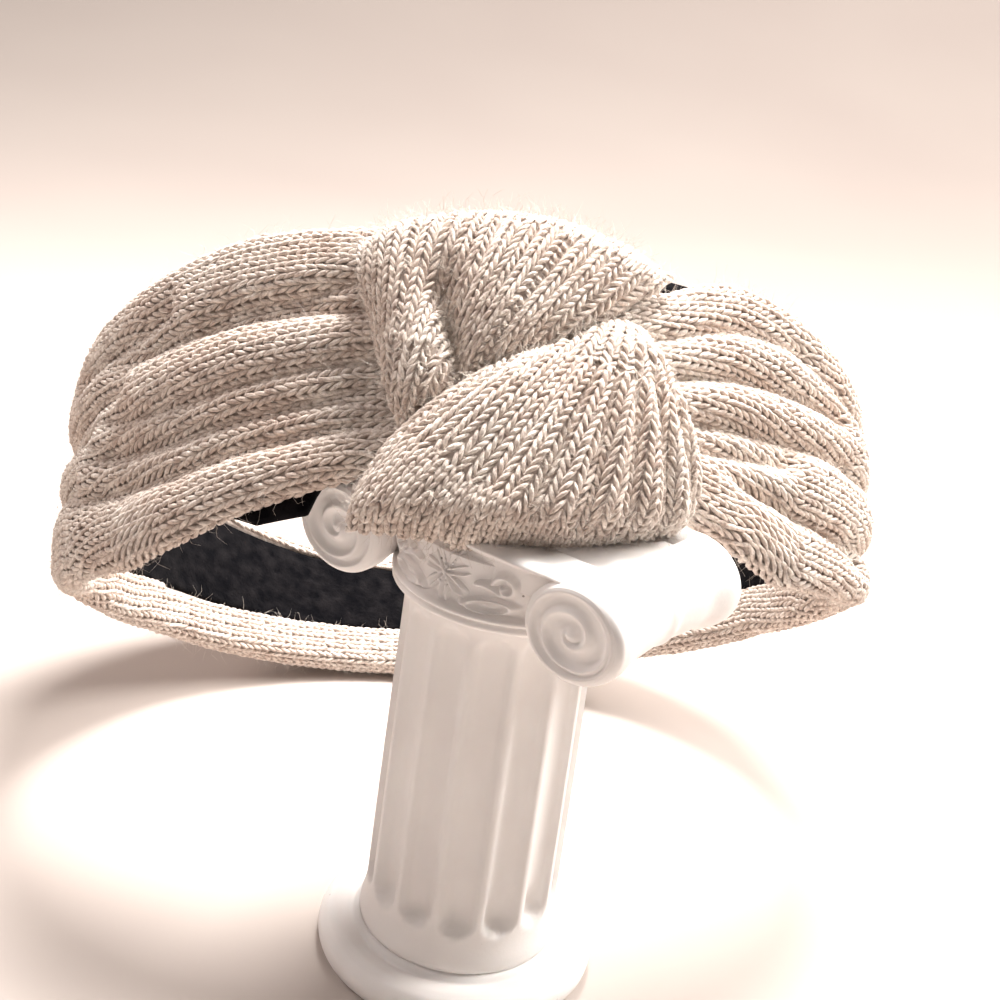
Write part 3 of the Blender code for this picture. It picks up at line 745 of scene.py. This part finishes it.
def lower_folds(x, y, down):
    """Ribs that run down out of the place where the loop goes under the other one."""
    angle = np.degrees(np.arctan2((y - 0.30) * KNOT_HEIGHT, (x - 0.24) * KNOT_WIDTH)) % 360.0
    ribs = -np.cos(2.0 * np.pi * (angle - 253.7) / 8.2) * smooth((angle - 248.0) / 5.0)
    valley = bell((angle - 243.0) / 5.5)
    return (0.0012 * ribs - 0.0015 * valley) * smooth((down - 0.12) / 0.25)


def make_knot(finish, shaded_ground_finish, hair_finish):
    pieces = {}
    share = np.linspace(0.0, 1.0, 56)[None, :]
    down = np.sort(np.append(np.linspace(0.0, 1.0, 50), (0.985, 0.993)))[:, None]
    for name, rows, edges, folds, rolled, fan in (
            ("knot_upper_loop", UPPER_ROWS, upper_edges, upper_folds, 0.02, UPPER_FAN),
            ("knot_lower_loop", LOWER_ROWS, lower_edges, lower_folds, 0.16, LOWER_FAN)):
        loop = Loop(rows, edges, folds, rolled)
        at = (down + 0 * share, share + 0 * down)
        front = placed(loop.front(*at))
        shaded_ground = closed_cloth(name + "_cloth", front, placed(loop.behind(*at)), shaded_ground_finish)
        stitches = knit_fan(name + "_stitches", loop, fan, finish)
        fuzz = hairs(name + "_hairs", Cloth(front), LOOP_HAIRS, 0.0062, hair_finish)
        pieces[name] = [shaded_ground, stitches, fuzz]
    return pieces


def make_lining(finish):
    turns = np.linspace(-74.0, -434.0, 361)[:-1, None]
    top, bottom, flare = lining_profile(turns)
    share = np.linspace(0.0, 1.0, LINING_POINTS)[None, 1:-1]
    lump = 0.00016 * CHANCE.normal(0.0, 1.0, (len(turns), LINING_POINTS))[:, 1:-1]
    back_out = -CLOTH_GAP - LINING_WALL + lump - 0.0003 * np.sin(np.pi * share)
    up = top + (bottom - top) * share
    nose = 0.0004
    rim = np.array([0.6 * nose, -nose, 0.6 * nose])
    rim_out = -CLOTH_GAP - LINING_WALL * np.array([0.0, 0.5, 1.0])
    ups = np.concatenate([up, bottom + rim, up[:, ::-1], top - rim], 1)
    outs = np.concatenate([0 * up - CLOTH_GAP, rim_out + 0 * bottom, back_out[:, ::-1],
                           rim_out[::-1] + 0 * bottom], 1)
    points = on_ring(turns + 0 * ups, ups, outs, flare)
    rows, cols = points.shape[:2]
    faces = grid_faces(rows, cols, wrap_rows=True, wrap_cols=True)[:, ::-1]
    return make_mesh("fleece_lining_cloth", placed(points), faces, finish)


def turned_mesh(name, profile, finish, matrix=Matrix.Identity(4), steps=128, relief=None):
    """A body turned about +Z from (radius, height) pairs, top to bottom, closed at both ends."""
    radius, height = profile.T[:, :, None]
    angle = circle(steps)
    ring = radius + 0 * angle
    if relief is not None:
        ring = ring + relief(angle[None, :], height)
    points = np.stack([ring * np.cos(angle), ring * np.sin(angle), height + 0 * ring], -1)
    return capped_mesh(name, moved(points, matrix), finish)


def capped_mesh(name, points, finish):
    """A grid of points whose rows are closed rings, with its first and last ring filled in."""
    rows, cols = points.shape[:2]
    flat = np.concatenate([points.reshape(-1, 3), [points[0].mean(0)], [points[-1].mean(0)]])
    faces = grid_faces(rows, cols, wrap_cols=True)[:, ::-1]
    first = fan_faces(np.arange(cols), rows * cols, False)
    last = fan_faces(np.arange(cols) + (rows - 1) * cols, rows * cols + 1, True)
    return mixed_mesh(name, flat, [faces, first, last], finish)


def mixed_mesh(name, points, groups, finish):
    """A mesh of quads and triangles together, all cut into triangles."""
    triangles = []
    for faces in groups:
        triangles.append(faces[:, :3])
        if faces.shape[1] == 4:
            triangles.append(faces[:, (0, 2, 3)])
    return make_mesh(name, points, np.concatenate(triangles), finish)


def eased(corners, radius, foot, height, count):
    """A smooth line of count points through a profile's corners, given in shares of radius and height."""
    points = np.array([(across * radius, foot + up * height) for across, up in corners])
    place = lengths_along(points)
    line = read_line(np.linspace(0.0, place[-1], count), place, points)
    for _ in range(3):
        line[1:-1] = (line[:-2] + 2 * line[1:-1] + line[2:]) / 4
    return line


def make_base(finish):
    corners = [(0.715, 1.0), (0.745, 0.93), (0.755, 0.84), (0.8, 0.9), (0.87, 0.93), (0.94, 0.84),
               (0.99, 0.64), (1.0, 0.46), (0.995, 0.3), (0.97, 0.1), (0.94, 0.0)]
    return turned_mesh("stand_base_cast", eased(corners, BASE_RADIUS, 0.0, BASE_HEIGHT, 48), finish)


def make_shaft(finish):
    foot = BASE_HEIGHT + STAND_GAP
    corners = [(SHAFT_TAPER * 1.02, 1.0), (SHAFT_TAPER, 0.97), (0.98, 0.5), (1.0, 0.095), (1.022, 0.05),
               (1.05, 0.032), (1.055, 0.018), (1.04, 0.0)]
    profile = eased(corners, SHAFT_RADIUS, foot, SHAFT_HEIGHT, 84)

    def relief(angle, height):
        place = (angle * FLUTE_COUNT / (2.0 * np.pi)) % 1.0 - 0.5
        half = 0.40
        low = foot + 0.105 * SHAFT_HEIGHT
        high = foot + 0.965 * SHAFT_HEIGHT
        cap = half * 2.0 * np.pi * SHAFT_RADIUS / FLUTE_COUNT
        beyond = np.maximum(0.0, np.maximum(low + cap - height, height - high + cap)) / cap
        reach = (place / half) ** 2 + beyond ** 2
        pit = 1.0 + 0.5 * bell((height - low - cap) / (1.3 * cap))
        return -FLUTE_DEPTH * pit * np.sqrt(np.clip(1.0 - reach, 0.0, 1.0))

    return turned_mesh("stand_shaft_cast", profile, finish, steps=FLUTE_COUNT * 12, relief=relief)


def volute_relief(x, z):
    """Raised spiral on a scroll's end, as a height for places measured from its middle."""
    radius = np.hypot(x, z)
    angle = np.arctan2(z, x)
    turns = 2.2
    share = np.clip(1.0 - radius, 0.0, 1.0) ** 0.85
    phase = share * turns - angle / (2.0 * np.pi)
    wave = np.abs((phase % 1.0) - 0.5) * 2.0
    ridge = bell((1.0 - wave) / 0.40) * smooth(radius / 0.14)
    eye = bell(radius / 0.16)
    rim = bell((radius - 0.93) / 0.07)
    return np.maximum(np.maximum(ridge * smooth((0.97 - radius) / 0.1), eye), rim)


def make_capital(finish):
    foot = BASE_HEIGHT + STAND_GAP + SHAFT_HEIGHT + STAND_GAP
    top = foot + CAPITAL_HEIGHT
    place = Matrix.Rotation(-CAPITAL_TURN, 4, "Z") @ Matrix.Translation((CAPITAL_SHIFT, 0.0, 0.0))
    corners = [(1.04, 0.78), (1.05, 0.45), (1.06, 0.27), (1.09, 0.235), (1.175, 0.205), (1.185, 0.165),
               (1.125, 0.135), (1.165, 0.105), (1.175, 0.065), (1.12, 0.02), (1.02, 0.0)]
    profile = eased(corners, SHAFT_RADIUS, foot, CAPITAL_HEIGHT, 64)
    parts = [turned_mesh("capital_neck", profile, finish, steps=160, matrix=place)]
    parts += [panel(face, foot, top, place, finish) for face in (-1.0, 1.0)]
    parts += [scroll(side, top, place, finish) for side in (-1.0, 1.0)]
    return join("stand_capital_cast", parts + [slab(top, place, finish)])


def leaf_relief(across, up):
    """Low relief of the panel between the scrolls, in millimetres from its middle and its foot."""
    reach = np.hypot(across, up - 5.4)
    angle = np.arctan2(up - 5.4, across)
    petal = 0.5 + 0.5 * np.cos(7.0 * (angle - 0.35))
    inner = 1.0 - reach / (1.5 + 5.2 * petal ** 0.55)
    star = smooth(inner * 3.5) * (0.35 + 0.65 * smooth((1.0 - petal) / 0.35))
    side = np.abs(across)
    curl_reach = np.hypot(side - 11.8, up - 6.0)
    curl_angle = np.arctan2(up - 6.0, side - 11.8)
    curl = bell((curl_reach - 1.5 - 0.28 * curl_angle) / 0.55) * (curl_reach < 3.2)
    stalk_line = 4.8 + 0.7 * np.sin((side - 5.0) * 0.55)
    stalk = bell((up - stalk_line) / 0.55)
    stalk = stalk * smooth((side - 5.0) / 1.5) * smooth((12.5 - side) / 1.5)
    leaf_reach = np.hypot((side - 9.2) / 3.8, (up - 1.9 - 0.12 * (side - 9.2)) / 1.15)
    leaf = bell((leaf_reach - 1.0) / 0.24) + 0.5 * bell(leaf_reach / 0.35)
    small_reach = np.hypot((side - 4.6) / 1.5, (up - 1.2) / 0.9)
    small = 0.8 * bell(small_reach / 0.8)
    return np.maximum.reduce([star, curl, stalk, leaf, small])


def panel(face, foot, top, place, finish):
    """The carved panel between the scrolls: straight at its top, bowed out over the shaft at its foot."""
    half = VOLUTE_SPREAD * 0.98
    across = np.linspace(-half, half, 170)[:, None]
    share = np.linspace(0.0, 1.0, 64)[None, :]
    low = foot + 0.20 * CAPITAL_HEIGHT
    rim = np.sqrt(np.maximum((1.12 * SHAFT_RADIUS) ** 2 - across ** 2, 0.008 ** 2))
    out = rim + (BOLSTER_HALF * 0.93 - rim) * share ** 0.8
    up = low + (top - low) * share
    millimetres = leaf_relief(across * 1000.0, (up - low) * 1000.0)
    field = smooth(share / 0.06) * smooth((0.86 - share) / 0.05)
    fillet = bell((share - 0.93) / 0.045)
    edge = smooth((1.0 - share) / 0.03)
    out = out + 0.0016 * millimetres * field + 0.0011 * fillet - 0.0009 * field - 0.0006 * (1.0 - edge)
    front = np.stack([across + 0 * share, -out, up + 0 * across], -1)
    behind = np.stack([across + 0 * share, 0 * out - 0.010, up + 0 * across], -1)
    section = np.concatenate([front, behind[:, [-1, 0]]], axis=1)
    section = moved(section, place @ Matrix.Rotation(0.0 if face < 0 else math.pi, 4, "Z"))
    faces = grid_faces(*section.shape[:2], wrap_cols=True)[:, ::-1]
    return mixed_mesh("capital_panel", section, [faces], finish)


def scroll(side, top, place, finish):
    """One scroll roll: waisted in the middle, with a spiral raised on both of its ends."""
    along = np.sin(np.linspace(-1.0, 1.0, 61) * np.pi / 2)
    steps = 96
    angle = circle(steps)
    end = np.abs(along)
    waist = 0.82 + 0.05 * smooth(end / 0.5) + 0.13 * smooth((end - 0.5) / 0.36)
    bead = 0.045 * bell(end / 0.05)
    round_over = 0.10 * np.clip((end - 0.93) / 0.07, 0.0, 1.0) ** 2
    radius = VOLUTE_RADIUS * (waist * 1.03 + bead - round_over)
    half = BOLSTER_HALF * 0.985
    y = along * half
    roll = np.stack([radius[:, None] * np.cos(angle), y[:, None] + 0 * angle,
                     radius[:, None] * np.sin(angle)], -1)
    rings = 30
    disc = np.linspace(1.0, 0.0, rings, endpoint=False)[:, None]
    points = [roll.reshape(-1, 3)]
    groups = [grid_faces(len(along), steps, wrap_cols=True)]
    count = len(along) * steps
    for face in (-1.0, 1.0):
        x = disc * np.cos(angle)
        z = disc * np.sin(angle)
        height = 0.0013 * volute_relief(face * x * side, z) - 0.0009
        out = face * (half + height * smooth((1.0 - disc) / 0.04))
        points.append(np.stack([x * radius[0], out, z * radius[0]], -1).reshape(-1, 3))
        points.append(np.array([[0.0, face * (half + 0.0004), 0.0]]))
        faces = grid_faces(rings, steps, wrap_cols=True, start=count)
        last = count + (rings - 1) * steps + np.arange(steps)
        fan = fan_faces(last, count + rings * steps, face < 0)
        groups += [faces if face > 0 else faces[:, ::-1], fan if face > 0 else fan]
        count += rings * steps + 1
    place = (place @ Matrix.Translation((side * VOLUTE_SPREAD, 0.0, top - VOLUTE_RADIUS))
             @ Matrix.Diagonal((VOLUTE_STRETCH, 1.0, 1.0, 1.0)))
    flat = moved(np.concatenate(points), place)
    return mixed_mesh("scroll_roll", flat, [faces[:, ::-1] for faces in groups], finish)


def slab(top, place, finish):
    """The flat top between the scrolls."""
    height = VOLUTE_RADIUS * SLAB_SHARE
    half_y = SLAB_HALF * 0.92
    outline = [(-half_y, -SLAB_DROP), (half_y, -SLAB_DROP), (half_y, -height), (-half_y, -height)]
    points = np.array([[(x, y, top + z) for y, z in outline]
                       for x in np.linspace(-VOLUTE_SPREAD, VOLUTE_SPREAD, 41)])
    return capped_mesh("capital_slab", moved(points, place), finish)


def join(name, items):
    """Several mesh objects made into one."""
    with bpy.context.temp_override(active_object=items[0], selected_editable_objects=items):
        bpy.ops.object.join()
    items[0].name = name
    items[0].data.name = name
    return items[0]


class Look:
    """A material in the making. Its textures lie in the object's own coordinates."""

    def __init__(self, name):
        self.finish = bpy.data.materials.new(name)
        self.finish.use_nodes = True
        self.tree = self.finish.node_tree
        self.shader = self.tree.nodes["Principled BSDF"]
        self.place = self.tree.nodes.new("ShaderNodeTexCoord").outputs["Object"]

    def put(self, socket, value):
        if isinstance(value, bpy.types.NodeSocket):
            self.tree.links.new(value, socket)
        else:
            socket.default_value = value

    def fill(self, made, **inputs):
        """Sets a node's inputs by name; a value that is a socket is linked."""
        for key, value in inputs.items():
            self.put(made.inputs[key.replace("_", " ")], value)
        return made

    def node(self, kind, **inputs):
        return self.fill(self.tree.nodes.new(kind), **inputs)

    def noise(self, scale, detail, roughness=0.5):
        made = self.node("ShaderNodeTexNoise", Vector=self.place, Scale=scale, Detail=detail,
                         Roughness=roughness)
        return made.outputs["Fac"]

    def ramp(self, factor, *stops):
        """Colours by a factor: each stop is its place, then red, green and blue."""
        made = self.node("ShaderNodeValToRGB", Fac=factor)
        while len(made.color_ramp.elements) < len(stops):
            made.color_ramp.elements.new(0.5)
        for element, (place, *colour) in zip(made.color_ramp.elements, stops):
            element.position = place
            element.color = (*colour, 1.0)
        return made.outputs["Color"]

    def multiply(self, factor, first, second):
        made = self.tree.nodes.new("ShaderNodeMix")
        made.data_type = "RGBA"
        made.blend_type = "MULTIPLY"
        sockets = {item.identifier: item for item in made.inputs}
        for key, value in (("Factor_Float", factor), ("A_Color", first), ("B_Color", second)):
            self.put(sockets[key], value)
        return next(item for item in made.outputs if item.identifier == "Result_Color")

    def bump(self, height, strength, distance):
        made = self.node("ShaderNodeBump", Height=height, Strength=strength, Distance=distance)
        self.fill(self.shader, Normal=made.outputs["Normal"])

    def shade(self, colour, **values):
        """Gives the shader its colour and its own values, and returns the material."""
        self.fill(self.shader, Base_Color=colour, **values)
        return self.finish


def yarn_material():
    """Marled oatmeal yarn: pale and taupe fibres with flecks and slow changes of shade."""
    look = Look("marled_knit")
    base = look.ramp(look.noise(420.0, 3.0, 0.65), (0.34, 0.54, 0.46, 0.42), (0.44, 0.63, 0.555, 0.51),
                     (0.53, 0.71, 0.645, 0.60), (0.66, 0.81, 0.755, 0.71))
    flecks = look.ramp(look.noise(1100.0, 2.0, 0.7), (0.36, 0.66, 0.61, 0.59), (0.47, 1.0, 1.0, 1.0),
                       (0.66, 1.15, 1.14, 1.12))
    tint = look.ramp(look.noise(60.0, 2.0), (0.36, 0.95, 0.87, 0.81), (0.64, 1.04, 1.03, 1.0))
    colour = look.multiply(0.8, look.multiply(0.85, base, flecks), tint)
    look.bump(look.noise(2600.0, 2.0, 0.6), 0.6, 0.0003)
    return look.shade(colour, Roughness=0.92, Sheen_Weight=0.30, Sheen_Roughness=0.5,
                      Sheen_Tint=(0.98, 0.95, 0.91, 1.0), Specular_IOR_Level=0.2)


def shaded_ground_material():
    """Painted shade: the yarn seen between the stitches, coloured darker than the stitches as if in their
    shadow.
    """
    look = Look("marled_knit_painted_shade")
    strand = look.noise(900.0, 3.0, 0.7)
    look.bump(strand, 0.8, 0.0004)
    # painted shade: these colours are darker than the stitches' yarn, standing in for the shadow between
    # stitches
    return look.shade(look.ramp(strand, (0.36, 0.38, 0.31, 0.275), (0.64, 0.60, 0.52, 0.465)),
                      Roughness=0.95, Specular_IOR_Level=0.1)


def hair_material():
    look = Look("yarn_halo")
    colour = look.ramp(look.noise(400.0, 1.0), (0.35, 0.52, 0.45, 0.39), (0.65, 0.86, 0.80, 0.73))
    return look.shade(colour, Roughness=0.8)


def fleece_material():
    """Black fleece: fine tufts on larger clumps."""
    look = Look("black_fleece")
    clump = look.noise(260.0, 2.0)
    total = look.node("ShaderNodeMath", Value=look.noise(1100.0, 4.0, 0.7))
    total.operation = "ADD"
    look.put(total.inputs[1], clump)
    look.bump(total.outputs["Value"], 0.9, 0.0006)
    return look.shade(look.ramp(clump, (0.35, 0.002, 0.002, 0.003), (0.70, 0.010, 0.009, 0.010)),
                      Roughness=0.97, Sheen_Weight=0.01, Sheen_Roughness=0.6, Specular_IOR_Level=0.04)


def plaster_material():
    """White plaster, slightly clouded, with a few dark specks in places."""
    look = Look("white_plaster")
    cloud = look.ramp(look.noise(45.0, 3.0), (0.35, 0.80, 0.765, 0.745), (0.70, 0.87, 0.845, 0.825))
    speck = look.node("ShaderNodeTexVoronoi", Vector=look.place, Scale=190.0)
    dot = look.ramp(speck.outputs["Distance"], (0.035, 0.35, 0.32, 0.30), (0.055, 1.0, 1.0, 1.0))
    rare = look.ramp(look.noise(75.0, 0.0), (0.60, 0.0, 0.0, 0.0), (0.64, 1.0, 1.0, 1.0))
    look.bump(look.noise(1400.0, 3.0), 0.12, 0.0002)
    return look.shade(look.multiply(rare, cloud, dot), Roughness=0.55, Specular_IOR_Level=0.35,
                      Subsurface_Weight=0.08, Subsurface_Radius=(0.003, 0.002, 0.0015))


def make_camera():
    data = bpy.data.cameras.new("camera")
    data.sensor_width = 36.0
    data.lens = CAMERA_LENS
    data.clip_start = 0.01
    camera = add_object("camera", data)
    level = Matrix.Rotation(math.radians(90.0), 4, "X")
    camera.matrix_world = (Matrix.Translation(CAMERA_PLACE) @ Matrix.Rotation(-CAMERA_PITCH, 4, "X")
                           @ level @ Matrix.Rotation(CAMERA_ROLL, 4, "Z"))
    bpy.context.scene.camera = camera


LIGHTS = table(
    "name place aim size power_watts colour",
    ("window", (0.62, 0.22, 0.55), (0.0, 0.03, 0.07), 0.35, 8.5, (1.0, 0.97, 0.93)),
    ("top_soft", (0.03, 0.2, 0.6), (0.0, 0.03, 0.1), 0.2, 8.2, (1.0, 0.97, 0.94)),
    ("left_soft", (-0.65, 0.22, 0.65), (0.0, 0.03, 0.08), 0.4, 3.2, (1.0, 0.9, 0.87)),
    ("front_soft", (-0.6, -0.7, 0.45), (0.0, 0.03, 0.08), 0.6, 0.45, (1.0, 0.84, 0.8)),
    ("backdrop_wash", (0.8, 0.6, 1.6), (0.4, 1.8, 0.4), 1.0, 35.0, (1.0, 0.93, 0.89)),
)


def area_light(name, place, aim, size, power_watts, colour):
    data = bpy.data.lights.new(name, "AREA")
    data.shape = "DISK"
    data.size = size
    data.energy = power_watts
    data.color = colour
    light = add_object(name, data)
    light.location = place
    light.rotation_euler = (Vector(aim) - Vector(place)).to_track_quat("-Z", "Y").to_euler()


def make_stage():
    """A pale floor that bends up into a backdrop, and soft lights."""
    look = Look("pale_floor")
    colour = look.ramp(look.noise(3.0, 2.0), (0.3, 0.52, 0.455, 0.42), (0.7, 0.56, 0.50, 0.46))
    finish = look.shade(colour, Roughness=0.9)
    half = 4.0
    bend = 1.6
    back = 0.6
    wall = 3.0
    profile = [(-half, 0.0), (back, 0.0)]
    for angle in np.radians(np.linspace(6.0, 90.0, 15)):
        profile.append((back + bend * math.sin(angle), bend * (1.0 - math.cos(angle))))
    profile.append((back + bend, wall))
    points = np.array([[(x, y, z) for y, z in profile] for x in (-half, half)])
    floor = make_mesh("floor", points, grid_faces(2, len(profile)), finish)
    world = bpy.data.worlds.new("studio")
    world.use_nodes = True
    sky = world.node_tree.nodes["Background"]
    sky.inputs["Color"].default_value = (1.0, 0.92, 0.87, 1.0)
    sky.inputs["Strength"].default_value = 0.25
    bpy.context.scene.world = world
    bpy.context.scene.view_settings.view_transform = "Standard"
    for light in LIGHTS:
        area_light(**light)


def settle(pieces, node_name):
    for piece in pieces:
        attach(piece, "root")
    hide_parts(node_name)


def main():
    make_camera()
    make_stage()
    yarn = yarn_material()
    shaded_ground = shaded_ground_material()
    halo = hair_material()
    fleece = fleece_material()
    plaster = plaster_material()
    band = make_band(yarn, shaded_ground, halo)
    settle(band, "knit_band")
    for name, pieces in make_knot(yarn, shaded_ground, halo).items():
        settle(pieces, name)
    lining = make_lining(fleece)
    settle([lining], "fleece_lining")
    for name, make in (("base", make_base), ("shaft", make_shaft), ("capital", make_capital)):
        settle([make(plaster)], "stand_" + name)


main()
